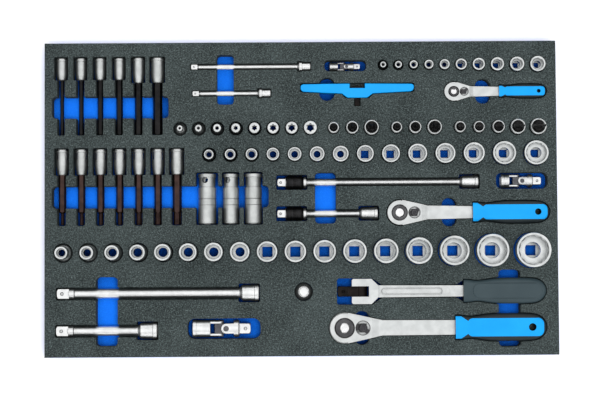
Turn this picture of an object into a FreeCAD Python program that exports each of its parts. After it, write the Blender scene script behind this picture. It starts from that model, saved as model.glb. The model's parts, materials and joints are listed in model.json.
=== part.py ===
import FreeCAD, Part
import math
import os

os.makedirs("parts", exist_ok=True)
Vec = FreeCAD.Vector

# Socket and ratchet set lying in a two-layer foam module. Millimetres, +Z up, X along the long
# side, origin at the centre of the underside. Tool places are measured from the lower left corner.

# ---------------------------------------------------------------- foam module
tray_length = 636.0
tray_width = 390.0
base_thickness = 12.0            # blue layer under everything
top_thickness = 20.0             # charcoal layer with the cut-outs
floor_z = base_thickness         # blue surface the tools rest on
face_z = base_thickness + top_thickness
over = 4.0                       # how far every cutter runs out above the face
pocket_gap = 0.7                 # foam to tool, sideways
rest_gap = 0.3                   # foam to a round tool lying on it, below
fit = 0.05                       # metal to metal running fit, radial
air = 0.4                        # metal to metal where nothing touches

# ---------------------------------------------------------------- drive squares
drive_quarter = 6.35
drive_three_eighth = 9.53
drive_half = 12.7
square_play = 0.25               # how much a female square is wider than the male one

# ---------------------------------------------------------------- standing sockets
quarter_sizes = (4, 5, 6, 7, 8, 9, 10, 11, 12, 13)
quarter_collar = 12.0
quarter_height = 25.0
quarter_row_gap = 7.0
quarter_row_start = 421.0
quarter_row_y = 360.8

three_eighth_sizes = (8, 9, 10, 11, 12, 13, 14, 15, 16, 17, 18, 19, 21, 22)
three_eighth_collar = 16.6
three_eighth_height = 28.0
three_eighth_row_gap = 9.85
three_eighth_row_start = 204.2
three_eighth_row_y = 250.0

half_sizes = (10, 11, 12, 13, 14, 15, 16, 17, 18, 19, 20, 21, 22, 24, 27, 30, 32)
half_collar = 22.6
half_height = 38.0
half_height_large = 44.0         # from 24 mm up
half_row_gap = 8.5
half_row_start = 23.0
half_row_y = 129.2

star_socket_tips = (3.9, 4.8, 5.7, 6.2, 7.5, 9.4, 10.1, 11.2)
star_socket_rims = (7.4, 8.6, 10.0, 11.4, 13.3, 14.2, 14.9, 16.4)
star_socket_collar = 16.0
star_socket_pitch = 23.1
star_socket_start = 168.4
small_row_y = 282.6

# bit kind, body diameter, bit diameter and distance from the tray's left edge
screwdriver_sockets = (
    ("cross", 13.9, 6.0, 358.9),
    ("cross", 15.9, 7.5, 382.1),
    ("cross", 18.5, 9.5, 406.0),
    ("cross", 13.9, 6.0, 437.1),
    ("cross", 15.6, 7.5, 460.1),
    ("cross", 18.5, 9.5, 484.1),
    ("blade", 14.2, 6.5, 515.8),
    ("blade", 14.3, 8.0, 539.2),
    ("blade", 15.9, 9.5, 563.3),
    ("blade", 18.8, 12.5, 587.4),
    ("blade", 19.9, 14.5, 612.6),
)
screwdriver_body_height = 28.0
screwdriver_bit_reach = 15.0

# ---------------------------------------------------------------- long bit sockets lying down
hex_bit_sizes = (4, 5, 6, 7, 8, 10)
hex_head_rims = (16.0, 16.0, 16.0, 16.0, 16.8, 18.4)
hex_head_lengths = (27.3, 27.3, 27.3, 27.3, 31.2, 31.2)
hex_bit_length = 96.0
hex_bit_start = 20.4
hex_bit_pitch = 23.9
hex_bit_top_y = 372.1

star_bit_tips = (3.9, 4.5, 5.1, 5.6, 6.8, 7.9, 9.2)
star_head_rims = (17.0, 17.0, 17.0, 17.0, 17.0, 17.0, 17.8)
star_shank = 8.0
star_shank_large = 9.8
star_head_length = 32.0
star_bit_length = 94.0
star_tip_length = 14.0
star_bit_start = 21.0
star_bit_pitch = 23.8
star_bit_top_y = 258.2

# hexagon, body diameter, rim diameter, place along X, tilt of the cross hole (None: no hole)
spark_sockets = (
    (18.0, 22.0, 22.2, 201.4, 14.0),
    (14.0, 19.6, 20.4, 230.8, 29.0),
    (16.0, 20.8, 22.2, 258.7, None),
)
spark_length = 62.5
spark_top_y = 226.5

# ---------------------------------------------------------------- extensions
half_extension_lengths = (250.0, 125.0)
half_extension_places = ((15.2, 78.6), (14.2, 32.5))
half_extension_bar = 12.0
half_extension_head = 21.6
three_eighth_extension_lengths = (250.0, 125.0)
three_eighth_extension_places = ((288.8, 215.2), (288.5, 176.4))
three_eighth_extension_bar = 9.0
three_eighth_extension_head = 17.2
three_eighth_release_collar = 17.4
three_eighth_release_travel = 2.5
quarter_extension_lengths = (148.5, 97.0)
quarter_extension_places = ((182.3, 359.7), (184.0, 326.5))
quarter_extension_bar = 6.3
quarter_extension_flange = 12.0
quarter_extension_z = 27.0

# ---------------------------------------------------------------- universal joints
# drive square, outer diameter, total length, male square length, place of the female end
half_joint = (drive_half, 21.7, 71.5, 13.6, (182.9, 34.6))
three_eighth_joint = (drive_three_eighth, 17.5, 50.0, 10.5, (566.6, 215.6))
quarter_joint = (drive_quarter, 12.0, 37.7, 7.6, (354.8, 360.3))
joint_block_share = 0.57         # width of the centre block as a share of the outer diameter
joint_side_room = 1.75           # foam to joint, sideways, so the drive end can swing

# ---------------------------------------------------------------- adapter, T-handle
adapter_place = (320.6, 79.6)
adapter_body = 21.4
adapter_neck = 14.2
adapter_height = 29.0
t_handle_place = (388.8, 337.4)
t_handle_span = 141.0
t_handle_thickness = 14.0
t_handle_hub = 33.0
t_handle_z = 17.0

# ---------------------------------------------------------------- hinge handle
hinge_place = (392.0, 79.4)      # centre of the hinge pin
hinge_axis_z = 25.0
hinge_fork_width = 31.0
hinge_fork_thickness = 15.0
hinge_block = 12.7
hinge_pin = 6.0
hinge_bar_end = 126.3            # pin to the front of the grip
hinge_grip_length = 102.6
hinge_grip_width = 32.0

# ---------------------------------------------------------------- ratchets
# Each row: drive square, head radius, ring radius, button radius, pin to pivot, shank start,
# shank width at start and end, head to grip, grip length, grip width, thickness of head, shank
# and grip, square length, resting tilt of the lever, height of the underside, place of the head.
half_ratchet = {
    "drive": drive_half,
    "head": 19.2,
    "ring": 12.1,
    "button": 6.4,
    "pivot": 22.6,
    "neck": 47.0,
    "shank_widths": (18.8, 18.0),
    "shank_end": 137.0,
    "grip_length": 113.0,
    "grip_width": 34.0,
    "thickness": 16.0,
    "shank_thickness": 11.0,
    "grip_thickness": 22.0,
    "square_length": 14.5,
    "lever_tilt": -38.0,
    "underside": 17.0,
    "place": (370.9, 34.4),
    "inlay_widths": (27.6, 15.5, 22.5),
    "hole": (231.9, 4.7),
}
three_eighth_ratchet = {
    "drive": drive_three_eighth,
    "head": 16.0,
    "ring": 9.8,
    "button": 6.0,
    "pivot": 18.4,
    "neck": 35.0,
    "shank_widths": (17.0, 14.9),
    "shank_end": 90.7,
    "grip_length": 95.6,
    "grip_width": 28.0,
    "thickness": 13.0,
    "shank_thickness": 9.0,
    "grip_thickness": 19.0,
    "square_length": 11.0,
    "lever_tilt": 40.0,
    "underside": 18.5,
    "place": (440.2, 176.9),
    "inlay_widths": (22.6, 13.0, 18.4),
    "hole": (171.5, 4.0),
}
quarter_ratchet = {
    "drive": drive_quarter,
    "head": 12.2,
    "ring": 6.5,
    "button": 4.2,
    "pivot": 13.0,
    "neck": 20.0,
    "shank_widths": (13.0, 11.2),
    "shank_end": 56.3,
    "grip_length": 59.0,
    "grip_width": 17.5,
    "thickness": 10.0,
    "shank_thickness": 7.0,
    "grip_thickness": 13.0,
    "square_length": 7.5,
    "lever_tilt": 42.0,
    "underside": 21.0,
    "place": (508.9, 327.3),
    "inlay_widths": (13.0, 8.3, 11.3),
    "hole": (105.5, 2.4),
}
button_travel = 1.5
gear_teeth = 30


# ---------------------------------------------------------------- small tools
def turned(profile):
    """Solid of revolution about X from (distance, radius) pairs."""
    start = Vec(profile[0][0], 0, 0)
    end = Vec(profile[-1][0], 0, 0)
    loop = [start] + [Vec(x, r, 0) for x, r in profile] + [end, start]
    return Part.Face(Part.makePolygon(loop)).revolve(Vec(0, 0, 0), Vec(1, 0, 0), 360)


def box(x0, x1, y0, y1, z0, z1):
    return Part.makeBox(x1 - x0, y1 - y0, z1 - z0, Vec(x0, y0, z0))


def rod(radius, x0, x1):
    """Cylinder along X."""
    return Part.makeCylinder(radius, x1 - x0, Vec(x0, 0, 0), Vec(1, 0, 0))


def drum(radius, z0, z1, x=0.0, y=0.0):
    """Cylinder along Z."""
    return Part.makeCylinder(radius, z1 - z0, Vec(x, y, z0))


def prism_x(outline, x0, x1):
    """Prism along X from (y, z) corners."""
    corners = [Vec(x0, y, z) for y, z in outline]
    face = Part.Face(Part.makePolygon(corners + corners[:1]))
    return face.extrude(Vec(x1 - x0, 0, 0))


def plate(outline, z0, z1):
    """Prism along Z from (x, y) corners."""
    corners = [Vec(x, y, z0) for x, y in outline]
    face = Part.Face(Part.makePolygon(corners + corners[:1]))
    return face.extrude(Vec(0, 0, z1 - z0))


def side_plate(outline, half_width):
    """Prism along Y from (x, z) corners, centred on the X-Z plane."""
    corners = [Vec(x, -half_width, z) for x, z in outline]
    face = Part.Face(Part.makePolygon(corners + corners[:1]))
    return face.extrude(Vec(0, 2 * half_width, 0))


def rounded(x0, x1, y0, y1, radius, z0, z1):
    """Block with rounded upright edges."""
    block = box(x0, x1, y0, y1, z0, z1)
    upright = [e for e in block.Edges if abs(e.BoundBox.ZLength - (z1 - z0)) < 1e-6]
    return block.makeFillet(radius, upright)


def spun(shape, axis, angle):
    """Copy turned about an axis through the origin."""
    copy = shape.copy()
    copy.rotate(Vec(0, 0, 0), axis, angle)
    return copy


def upright(shape):
    """Copy with its X axis turned to +Z."""
    return spun(shape, Vec(0, 1, 0), -90)


def shifted(shape, x, y, z):
    copy = shape.copy()
    copy.translate(Vec(x, y, z))
    return copy


def put(shape, place, z):
    """Copy moved to a place measured from the tray's lower left corner."""
    return shifted(shape, place[0] - tray_length / 2, place[1] - tray_width / 2, z)


def ring_points(count, radii, turn=0.0):
    """Corners at equal angles, the radii taken in turn."""
    step = 2 * math.pi / count
    corners = []
    for i in range(count):
        angle = turn + i * step
        radius = radii[i % len(radii)]
        corners.append((radius * math.cos(angle), radius * math.sin(angle)))
    return corners


def hexagon(across):
    return ring_points(6, (across / math.sqrt(3),))


def twelve_point(across):
    tip = across / math.sqrt(3)
    valley = across / 2 / math.cos(math.radians(15))
    return ring_points(24, (tip, valley))


def star(diameter, x0, x1):
    """Six-lobed star prism along X, every lobe and valley an arc."""
    outer = diameter / 2
    inner = outer * 0.74
    edge = outer * 0.90

    def spot(radius, degrees):
        angle = math.radians(degrees)
        return Vec(x0, radius * math.cos(angle), radius * math.sin(angle))

    arcs = []
    for k in range(6):
        turn = 60 * k
        arcs.append(Part.Arc(spot(edge, turn - 13), spot(outer, turn), spot(edge, turn + 13)).toShape())
        arcs.append(Part.Arc(spot(edge, turn + 13), spot(inner, turn + 30), spot(edge, turn + 47)).toShape())
    return Part.Face(Part.Wire(arcs)).extrude(Vec(x1 - x0, 0, 0))


def male_square(across, length):
    """Drive square from x = 0 (its tip) to x = length, corners broken."""
    block = box(0, length, -across / 2, across / 2, -across / 2, across / 2)
    corner = across * 0.675
    sleeve = turned([(0, corner - across * 0.12), (across * 0.12, corner), (length, corner)])
    return block.common(sleeve)


def female_square(across, x0, x1):
    half = (across + square_play) / 2
    return box(x0, x1, -half, half, -half, half)


def ball_hole(across, x, side):
    """Cutter and ball for the detent in one face of a male square, side = +Z or -Y."""
    radius = across * 0.17
    cutter = Part.makeCylinder(radius + fit, across * 0.4, side * (across * 0.2) + Vec(x, 0, 0), side)
    ball = Part.makeSphere(radius, side * (across / 2 - radius * 0.55) + Vec(x, 0, 0))
    return cutter, ball


def row_places(start, widths, gap):
    """Centres of a row, neighbours one gap apart."""
    places = [start]
    for left, right in zip(widths, widths[1:]):
        places.append(places[-1] + (left + right) / 2 + gap)
    return places


# ---------------------------------------------------------------- sockets
def socket(size, drive, rim, collar, height, outline, square_shows):
    """Socket along X, drive end at x = 0, working end at x = height."""
    edge = 0.7
    waist = height * 0.46
    shoulder = waist + abs(collar - rim) * 0.5 + 0.5
    profile = [
        (0, collar / 2 - edge),
        (edge, collar / 2),
        (waist, collar / 2),
        (shoulder, rim / 2),
        (height - edge, rim / 2),
        (height, rim / 2 - edge * 0.6),
    ]
    body = turned(profile)
    drive_depth = drive * 1.05
    if square_shows:
        recess_floor = shoulder + 1.0
        relief = min(size * 0.47, collar / 2 - 1.2)
    else:
        recess_floor = height - min(size * 0.8, height * 0.5)
        relief = min(size * 0.43, drive * 0.46)
    recess = prism_x(outline(size + 0.2), recess_floor, height + 1)
    mouth = turned([
        (height - size * 0.08, size * 0.5),
        (height + 0.1, size * 0.585 + 0.1),
    ])
    bore = rod(relief, drive_depth - 1, recess_floor + 1)
    hole = female_square(drive, -1, drive_depth)
    return body.cut([recess, mouth, bore, hole])


def standing_row(sizes, drive, slope, wall, collar, heights, outline, threshold, start, row_y, gap):
    """Solids of one row of sockets, and the wells they stand in."""
    rims = [slope * size + wall for size in sizes]
    widths = [max(rim, collar) for rim in rims]
    solids = []
    wells = []
    for size, rim, width, height, x in zip(sizes, rims, widths, heights, row_places(start, widths, gap)):
        made = socket(size, drive, rim, collar, height, outline, size >= threshold)
        solids.append(put(upright(made), (x, row_y), floor_z))
        wells.append(put(drum(width / 2 + pocket_gap, floor_z, face_z + over), (x, row_y), 0))
    return solids, wells


def star_socket(tip, rim):
    """Socket with a six-lobed recess for outside star heads."""
    height = three_eighth_height
    drive = drive_three_eighth
    waist = height * 0.5
    body = turned([
        (0, star_socket_collar / 2 - 0.7),
        (0.7, star_socket_collar / 2),
        (waist, star_socket_collar / 2),
        (waist + 2.5, rim / 2),
        (height - 0.5, rim / 2),
        (height, rim / 2 - 0.5),
    ])
    recess = star(tip, height - tip * 0.7 - 2, height + 1)
    bore = rod(tip * 0.36, drive - 1, height)
    return body.cut([recess, bore, female_square(drive, -1, drive * 1.05)])


def screwdriver_pair(kind, body_diameter, bit_diameter):
    """Ring-shaped body standing on its drive end and the bit pressed into it."""
    height = screwdriver_body_height
    drive = drive_three_eighth if body_diameter > 17 else drive_quarter
    radius = body_diameter / 2
    shank = min(bit_diameter, body_diameter * 0.55) / 2
    body = turned([(0, radius - 0.7), (0.7, radius), (height - 0.8, radius), (height, radius - 0.8)])
    cup = turned([(height - 2.0, shank + fit), (height + 0.1, radius - 1.5)])
    seat = drive * 1.05 + 1
    body = body.cut([cup, rod(shank + fit, seat, height), female_square(drive, -1, drive * 1.05)])
    reach = height + screwdriver_bit_reach
    stem = rod(shank, seat, reach - 6)
    if kind == "blade":
        wide = bit_diameter / 2
        paddle = side_plate([
            (height + 1, -0.18 * bit_diameter - 0.6),
            (reach, -0.5),
            (reach, 0.5),
            (height + 1, 0.18 * bit_diameter + 0.6),
        ], wide)
        taper = turned([(seat, shank), (height + 1, shank), (height + 5, wide + 0.1), (reach, wide + 0.1)])
        bit = rod(shank, seat, height + 2).fuse(paddle.common(taper)).removeSplitter()
    else:
        cone = turned([(seat, shank), (reach - 6, shank), (reach - 0.6, 0.9), (reach, 0.5)])
        wing = shank * 0.28
        across = box(reach - 8, reach + 1, -shank, shank, -wing, wing)
        down = box(reach - 8, reach + 1, -wing, wing, -shank, shank)
        core = turned([(reach - 8, shank), (reach - 5, shank * 0.55), (reach, 0.4)])
        tip = cone.common(across.fuse([down, core]))
        bit = stem.cut(box(reach - 6.5, reach, -shank, shank, -shank, shank)).fuse(tip).removeSplitter()
    return body, bit


def bit_socket_head(rim, length, drive, seat, grip_end):
    """Head of a lying bit socket along X, drive end at x = 0; grip_end is the radius at the bit end."""
    radius = rim / 2
    profile = [
        (0, radius - 0.6),
        (0.6, radius),
        (3.6, radius),
        (4.2, radius - 0.6),
        (length * 0.62, radius - 0.6),
        (length * 0.80, grip_end + 1.0),
        (length - 0.8, grip_end),
        (length, grip_end - 0.8),
    ]
    return turned(profile).cut([female_square(drive, -1, drive * 1.05), seat])


def lay_down(shape, x, top_y, axis_z):
    """Copy with its X axis pointing to -Y, drive end at top_y."""
    return put(spun(shape, Vec(0, 0, 1), -90), (x, top_y), axis_z)


# ---------------------------------------------------------------- lying tools
def extension(drive, length, bar, head, square_length, shoulder, rim_length):
    """Extension bar along X, male square at x = 0, female end at x = length."""
    head_start = length - drive * 1.6
    profile = [
        (square_length, shoulder / 2 - 0.6),
        (square_length + 0.6, shoulder / 2),
        (square_length + drive * 0.55, shoulder / 2),
        (square_length + drive * 0.65, bar / 2),
        (head_start - head * 0.18, bar / 2),
        (head_start, head / 2 - 1.0),
        (length - rim_length - 0.6, head / 2 - 0.6),
        (length - rim_length, head / 2),
        (length - 0.7, head / 2),
        (length, head / 2 - 0.7),
    ]
    body = turned(profile).fuse(male_square(drive, square_length + 1)).removeSplitter()
    cutter, ball = ball_hole(drive, square_length * 0.45, Vec(0, 0, 1))
    body = body.cut([cutter, female_square(drive, length - drive * 1.15, length + 1)])
    return [body, ball]


def small_extension(length):
    """Quarter-inch extension: thin bar, narrow flange and short female end."""
    drive = drive_quarter
    flange = quarter_extension_flange / 2
    profile = [
        (7.0, 2.6),
        (8.5, 2.6),
        (9.2, quarter_extension_bar / 2),
        (length - 16.5, quarter_extension_bar / 2),
        (length - 14.2, flange - 1),
        (length - 13.9, flange),
        (length - 10.8, flange),
        (length - 10.4, flange - 1),
        (length - 0.6, flange - 1),
        (length, flange - 1.6),
    ]
    body = turned(profile).fuse(male_square(drive, 7.6)).removeSplitter()
    cutter, ball = ball_hole(drive, 3.2, Vec(0, 0, 1))
    body = body.cut([cutter, female_square(drive, length - 8.5, length + 1)])
    return [body, ball]


def release_extension(length):
    """Three-eighth extension whose black collar slides over the root of the square."""
    drive = drive_three_eighth
    sleeve = drive * 0.69
    root = 10.5
    travel = three_eighth_release_travel
    head = three_eighth_extension_head
    head_start = length - 20.2
    collar_end = root + 22.0
    profile = [
        (root - 0.5, drive * 0.66),
        (root, sleeve),
        (collar_end + 0.2, sleeve),
        (collar_end + 0.2, sleeve + 0.9),
        (collar_end + 3.2, sleeve + 0.9),
        (collar_end + 3.2, three_eighth_extension_bar / 2),
        (head_start - 3.2, three_eighth_extension_bar / 2),
        (head_start, head / 2 - 1.0),
        (length - 4.6, head / 2 - 0.6),
        (length - 4.0, head / 2),
        (length - 0.7, head / 2),
        (length, head / 2 - 0.7),
    ]
    body = turned(profile).fuse(male_square(drive, root)).removeSplitter()
    cutter, ball = ball_hole(drive, 4.0, Vec(0, 0, 1))
    body = body.cut([cutter, female_square(drive, length - drive * 1.15, length + 1)])
    outer = three_eighth_release_collar / 2
    ring = [(root + 0.3, outer - 1.0), (root + 1.3, outer)]
    groove = root + 8.0
    for k in range(3):
        ring += [(groove, outer), (groove, outer - 0.7), (groove + 1.0, outer - 0.7), (groove + 1.0, outer)]
        groove += 3.2
    ring += [(collar_end - 3.0, outer), (collar_end, outer - 1.6)]
    collar = turned(ring).cut(rod(sleeve + fit, root - travel, collar_end + 1))
    return [body, ball], [collar]


def universal_joint(drive, diameter, length, square_length):
    """Two yokes and a centre block along X with one pin along Y and one along Z."""
    outer = diameter / 2
    half = diameter * joint_block_share / 2
    pin = half * 0.55
    clear = 0.2
    scale = diameter / 21.7
    body_end = length - square_length - 36.2 * scale
    pin_y = body_end + 10.8 * scale
    pin_z = pin_y + 9.1 * scale
    yoke_start = pin_z + 9.6 * scale
    yoke_end = length - square_length
    arm = half - clear

    left = turned([
        (0, outer - 0.6),
        (0.6, outer),
        (4.4 * scale, outer),
        (4.8 * scale, outer - 0.5),
        (pin_y + arm, outer - 0.5),
    ])
    ear = Part.makeCylinder(arm, diameter, Vec(pin_y, -outer, 0), Vec(0, 1, 0))
    keep = box(-1, body_end, -outer, outer, -outer, outer)
    keep = keep.fuse([ear, box(body_end - 1, pin_y, -outer, outer, -arm, arm)])
    left = left.common(keep)
    slot = box(body_end, pin_y + outer, -half - clear, half + clear, -outer, outer)
    hole_y = Part.makeCylinder(pin + fit, diameter, Vec(pin_y, -outer, 0), Vec(0, 1, 0))
    left = left.cut([slot, hole_y, female_square(drive, -1, min(drive, body_end - 1.5))])

    block = box(pin_y - 5.4 * scale, pin_z + 5.4 * scale, -half, half, -half, half)
    block = block.makeChamfer(0.6 * scale, block.Edges)
    reach = outer - 0.9
    pins = Part.makeCylinder(pin, 2 * reach, Vec(pin_y, -reach, 0), Vec(0, 1, 0))
    cross = block.fuse([pins, drum(pin, -reach, reach, pin_z)]).removeSplitter()

    right = turned([
        (pin_z - arm, outer - 0.5),
        (yoke_end - 1.2 * scale, outer - 0.5),
        (yoke_end, outer - 1.7 * scale),
    ])
    ear = drum(arm, -outer, outer, pin_z)
    keep = box(yoke_start, length, -outer, outer, -outer, outer)
    keep = keep.fuse([ear, box(pin_z, yoke_start + 1, -arm, arm, -outer, outer)])
    right = right.common(keep)
    slot = box(pin_z - outer, yoke_start, -outer, outer, -half - clear, half + clear)
    right = right.cut([slot, drum(pin + fit, -outer, outer, pin_z)])
    square = spun(male_square(drive, square_length + 1), Vec(0, 0, 1), 180)
    right = right.fuse(shifted(square, length, 0, 0)).removeSplitter()
    cutter, ball = ball_hole(drive, length - square_length * 0.45, Vec(0, 0, 1))
    right = right.cut(cutter)
    return [left], [cross], [right, ball]


def grip_outline(length, width):
    """Face in the X-Y plane: square front, slight waist, full belly, round end."""
    half = width / 2
    shares = ((0.0, 0.88), (0.05, 0.88), (0.15, 0.80), (0.32, 0.92), (0.56, 1.0), (0.80, 0.97), (0.93, 0.76))
    upper = [Vec(length * x, half * y, 0) for x, y in shares]
    lower = [Vec(p.x, -p.y, 0) for p in reversed(upper)]
    tip = Vec(length, 0, 0)
    curve = Part.BSplineCurve()
    curve.interpolate(upper + [tip] + lower)
    front = Part.LineSegment(lower[-1], upper[0])
    return Part.Face(Part.Wire([curve.toShape(), front.toShape()]))


def grip_body(length, width, thickness):
    """Rounded handle shell from x = 0, centred on z = 0."""
    face = grip_outline(length, width)
    face.translate(Vec(0, 0, -thickness / 2))
    body = face.extrude(Vec(0, 0, thickness))
    half = thickness / 2
    rims = []
    for edge in body.Edges:
        level = edge.BoundBox.ZLength < 1e-6 and abs(abs(edge.BoundBox.ZMin) - half) < 1e-6
        if level and edge.BoundBox.XLength > 1:
            rims.append(edge)
    return body.makeFillet(thickness * 0.24, rims)


def inlay_outline(length, widths, grow, z0, z1):
    """Bow-tie front and long rounded panel of the coloured inlay."""
    flare, waist, main = [w / 2 + grow for w in widths]
    start = -grow
    panel_start = flare * 1.05
    bow = plate([
        (start, -flare),
        (flare * 0.50 + grow, -flare),
        (panel_start + 1, -waist),
        (panel_start + 1, waist),
        (flare * 0.50 + grow, flare),
        (start, flare),
    ], z0, z1)
    panel = rounded(panel_start - grow, length + grow, -main, main, main * 0.62, z0, z1)
    return bow.fuse(panel).removeSplitter()


def ratchet(data):
    """All the pieces of one ratchet: head centre at the origin, underside at z = 0."""
    drive = data["drive"]
    head = data["head"]
    ring = data["ring"]
    button = data["button"]
    pivot = data["pivot"]
    neck = data["neck"]
    thick = data["thickness"]
    half_thick = thick / 2
    shank_end = data["shank_end"]
    scale = ring / 12.1
    well = ring + air
    floor = thick * 0.22
    recess = pivot - well - 0.7 * scale
    recess_depth = 2.4 * scale

    wide, narrow = data["shank_widths"]
    reach = math.hypot(neck, wide / 2)
    tangent = math.atan2(wide / 2, neck) + math.acos(head / reach)
    touch = (head * math.cos(tangent), head * math.sin(tangent))
    plan = drum(head, 0, thick).fuse([
        plate([touch, (neck, wide / 2), (neck, -wide / 2), (touch[0], -touch[1])], 0, thick),
        plate([(neck - 1, wide / 2), (shank_end, narrow / 2), (shank_end, -narrow / 2),
               (neck - 1, -wide / 2)], 0, thick),
    ]).removeSplitter()
    low = half_thick - data["shank_thickness"] / 2
    high = half_thick + data["shank_thickness"] / 2
    slope = pivot + recess + 1.5 * scale
    side = side_plate([
        (-head - 1, 0),
        (slope, 0),
        (slope + 9 * scale, low),
        (shank_end + 1, low),
        (shank_end + 1, high),
        (slope + 9 * scale, high),
        (slope, thick),
        (-head - 1, thick),
    ], head + 1)
    bevel = 1.3 * scale
    rim = upright(turned([(0, head - bevel), (bevel, head), (thick - bevel, head), (thick, head - bevel)]))
    hub = plan.common(side)
    shave = drum(head + 3, -1, thick + 1).cut(rim)
    wedge = box(-head - 4, touch[0], -head - 4, head + 4, -2, thick + 2)
    body = hub.cut(shave.common(wedge))
    tang_end = shank_end + data["grip_length"] * 0.5
    tang = box(shank_end - 1, tang_end, -narrow * 0.3, narrow * 0.3, low + 1, high - 1)
    body = body.fuse(tang).removeSplitter()
    body = body.cut([
        drum(well, floor, thick + 1),
        drum(ring * 0.82 + fit, -1, floor + 1),
        drum(recess, thick - recess_depth, thick + 1, pivot),
        box(ring - 1, pivot + 4.6 * scale, -5.6 * scale, 5.6 * scale, floor, thick - recess_depth + 0.1),
    ])

    gear_low = floor + 0.1
    gear_high = thick - 2.6 * scale
    lower = data["square_length"]
    teeth = plate(ring_points(2 * gear_teeth, (ring, ring - 0.8 * scale)), gear_low, gear_high)
    square = shifted(upright(male_square(drive, lower + 1)), 0, 0, -lower)
    gear = teeth.fuse([
        upright(turned([(gear_high - 1, ring - 1.0), (thick - 1.0, ring - 0.3), (thick - 0.4, ring - 0.9)])),
        drum(ring * 0.82, 0, floor + 1),
        square,
    ]).removeSplitter()
    stem = drive * 0.17
    gear = gear.cut([
        drum(button + fit, thick - 5.5 * scale - button_travel - 0.1, thick + 1),
        drum(stem + fit, -lower * 0.75, thick),
    ])
    cutter, ball = ball_hole(drive, 0, Vec(0, -1, 0))
    lift = -lower * 0.58
    gear = gear.cut(shifted(cutter, 0, 0, lift))
    push = upright(turned([
        (thick - 5.5 * scale, button),
        (thick - 0.6, button),
        (thick + 0.4, button * 0.82),
        (thick + 0.8, button * 0.45),
    ])).fuse(drum(stem, -lower * 0.2, thick - 5 * scale)).removeSplitter()

    knob = 5.4 * scale
    plane = thick - recess_depth + 0.1
    lever = upright(turned([
        (plane, knob),
        (thick + 0.4, knob),
        (thick + 1.2 * scale, knob - 0.8 * scale),
    ]))
    arm = plate([
        (0, -2.6 * scale),
        (recess - 1.6 * scale, -2.9 * scale),
        (recess - 0.5 * scale, -1.6 * scale),
        (recess - 0.5 * scale, 1.6 * scale),
        (recess - 1.6 * scale, 2.9 * scale),
        (0, 2.6 * scale),
    ], plane, thick + 0.3)
    axle = 2.4 * scale
    lever = lever.fuse([arm, drum(axle, floor + 0.6, plane + 1)]).removeSplitter()
    dimple = plate(ring_points(6, (3.2 * scale,)), thick, thick + 3)
    lever = shifted(spun(lever.cut(dimple), Vec(0, 0, 1), data["lever_tilt"]), pivot, 0, 0)

    nose = pivot - ring - 1.1 * scale
    pawl_low = floor + 0.25
    pawl_high = thick - recess_depth - 0.3
    pawl = plate([
        (-nose, -3.6 * scale),
        (3.2 * scale, -3.0 * scale),
        (3.2 * scale, 3.0 * scale),
        (-nose, 3.6 * scale),
        (-nose + 0.9 * scale, 1.8 * scale),
        (-nose, 0),
        (-nose + 0.9 * scale, -1.8 * scale),
    ], pawl_low, pawl_high)
    rock = math.copysign(6.0, data["lever_tilt"])
    pawl = pawl.cut(drum(axle + fit, pawl_low - 1, pawl_high + 1))
    pawl = shifted(spun(pawl, Vec(0, 0, 1), rock), pivot, 0, 0)

    grip = grip_body(data["grip_length"], data["grip_width"], data["grip_thickness"])
    top = data["grip_thickness"] / 2
    depth = data["grip_thickness"] * 0.15
    inlay_length = data["grip_length"] * 0.965
    hole_x = data["hole"][0] - shank_end
    hang = drum(data["hole"][1], -top - 1, top + 1, hole_x)
    inlay = inlay_outline(inlay_length, data["inlay_widths"], 0.0, top - depth, top + 1)
    seat = inlay_outline(inlay_length, data["inlay_widths"], fit, top - depth, top + 1)
    inlay = inlay.common(grip).cut(hang)
    pocket = box(-1, tang_end - shank_end + air, -narrow * 0.3 - fit, narrow * 0.3 + fit,
                 low + 1 - half_thick - fit, high - 1 - half_thick + fit)
    grip = grip.cut([seat, hang, pocket])
    grip = shifted(grip, shank_end, 0, half_thick)
    inlay = shifted(inlay, shank_end, 0, half_thick)

    return {
        "body": [body],
        "grip": [grip],
        "inlay": [inlay],
        "drive": [gear, shifted(ball, 0, 0, lift)],
        "button": [push],
        "lever": [lever],
        "pawl": [pawl],
    }


def ratchet_pocket(data):
    """Cutters that let one ratchet down into the charcoal layer."""
    gap = pocket_gap
    under = data["underside"]
    top = face_z + over
    wide, narrow = data["shank_widths"]
    head = data["head"] + gap
    reach = math.hypot(data["neck"], wide / 2 + gap)
    tangent = math.atan2(wide / 2 + gap, data["neck"]) + math.acos(head / reach)
    touch = (head * math.cos(tangent), head * math.sin(tangent))
    grip_low = under + data["thickness"] / 2 - data["grip_thickness"] / 2 - rest_gap
    end = data["shank_end"]
    grip = grip_outline(data["grip_length"] + 2 * gap, data["grip_width"] + 3 * gap)
    grip.translate(Vec(end - gap, 0, grip_low))
    cutters = [
        drum(head, under, top),
        plate([touch, (data["neck"], wide / 2 + gap), (data["neck"], -wide / 2 - gap),
               (touch[0], -touch[1])], under, top),
        plate([(data["neck"] - 1, wide / 2 + gap), (end, narrow / 2 + gap), (end, -narrow / 2 - gap),
               (data["neck"] - 1, -wide / 2 - gap)], under, top),
        grip.extrude(Vec(0, 0, top - grip_low)),
    ]
    return [put(c, data["place"], 0) for c in cutters]


def drive_well(data):
    """Round well for the drive square below the ratchet head, through both layers."""
    radius = data["drive"] * 0.72 + pocket_gap
    bottom = data["underside"] - data["square_length"] - 0.5
    return put(drum(radius, bottom, face_z), data["place"], 0)


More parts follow.
